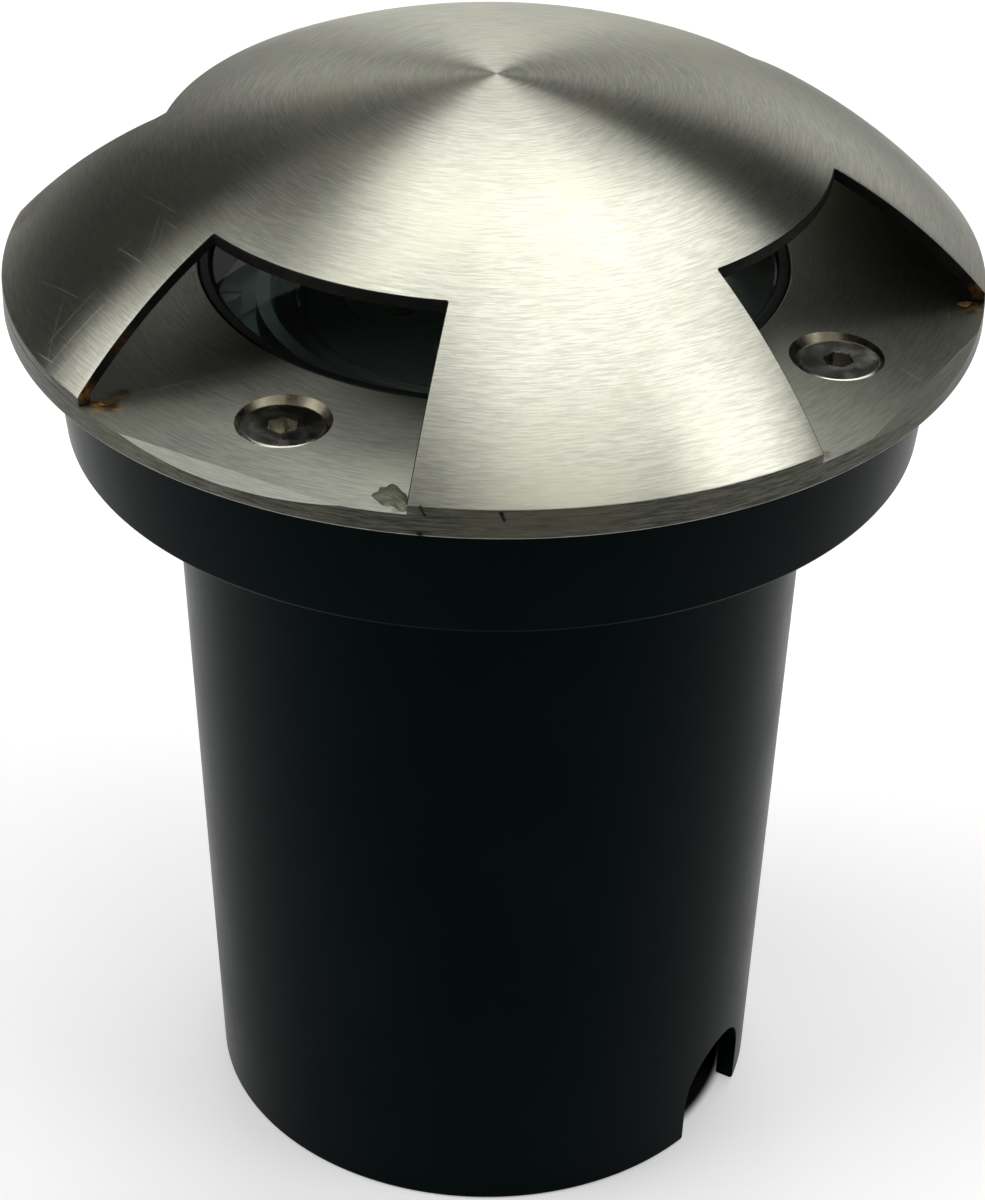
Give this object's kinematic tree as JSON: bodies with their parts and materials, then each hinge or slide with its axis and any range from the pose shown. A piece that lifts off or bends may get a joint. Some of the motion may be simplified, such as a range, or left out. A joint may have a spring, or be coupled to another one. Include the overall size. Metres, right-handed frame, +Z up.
{
  "type": "in ground well light",
  "caption": "Round in-ground well light with a domed steel cover, side windows over a flush glass, and a lamp housing in a plastic ground sleeve.",
  "frame": {"origin": "on the light's axis, level with the bottom edge of the ground sleeve", "axes": "+Z up along the axis; +X and +Y each point through a window, and the cable notches face +X and -X"},
  "size_m": [0.11, 0.11, 0.1342],
  "materials": {
    "cover_steel": "circular brushed, lightly worn",
    "screw_steel": "turned, bright",
    "clear_glass": "polished, toughened",
    "lamp_lens": "clear moulded",
    "black_rubber": "matt moulded",
    "sleeve_plastic": "satin moulded",
    "housing_paint": "matt powder coat",
    "lamp_aluminium": "satin",
    "plated_steel": "zinc plated",
    "brass": "bright",
    "white_ceramic": "matt fired",
    "pale_plastic": "moulded",
    "lead_silicone": "smooth silicone",
    "gland_nylon": "moulded"
  },
  "bodies": {
    "sleeve": {"mounting_sleeve": "sleeve_plastic"},
    "light_unit": {"lamp_housing": "housing_paint", "flange_seal": "black_rubber", "lamp_carrier": "lamp_aluminium", "carrier_screws": "plated_steel", "lamp_clip": "plated_steel", "lamp_body": "lamp_aluminium", "lamp_lens": "lamp_lens", "lamp_pins": "brass", "lamp_holder": "white_ceramic", "holder_bracket": "plated_steel", "bracket_screws": "plated_steel", "holder_screws": "plated_steel", "terminal_block": "pale_plastic", "terminal_tubes": "brass", "terminal_screws": "plated_steel", "block_screw": "plated_steel", "lamp_leads": "lead_silicone", "gland_body": "gland_nylon", "gland_washer": "black_rubber", "gland_locknut": "gland_nylon", "gland_seal": "black_rubber"},
    "cover": {"cover_ring": "cover_steel", "dome_hood": "cover_steel", "glass_lens": "clear_glass", "lens_gasket": "black_rubber"},
    "cover_screws": {"cover_screws": "screw_steel"},
    "gland_nut": {"gland_nut": "gland_nylon"}
  },
  "joints": [
    {"name": "light_lift", "type": "slide", "parent": "sleeve", "child": "light_unit", "axis": [0, 0, 1], "range_m": [0, 0.1]},
    {"name": "cover_lift", "type": "slide", "parent": "light_unit", "child": "cover", "axis": [0, 0, 1], "range_m": [0, 0.06]},
    {"name": "screws_draw", "type": "slide", "parent": "cover", "child": "cover_screws", "axis": [0, 0, 1], "range_m": [0, 0.0125]},
    {"name": "gland_nut_turn", "type": "hinge", "parent": "light_unit", "child": "gland_nut", "pos_m": [0, 0, 0.0173], "axis": [0, 0, -1], "range_deg": [0, 540]}
  ]
}
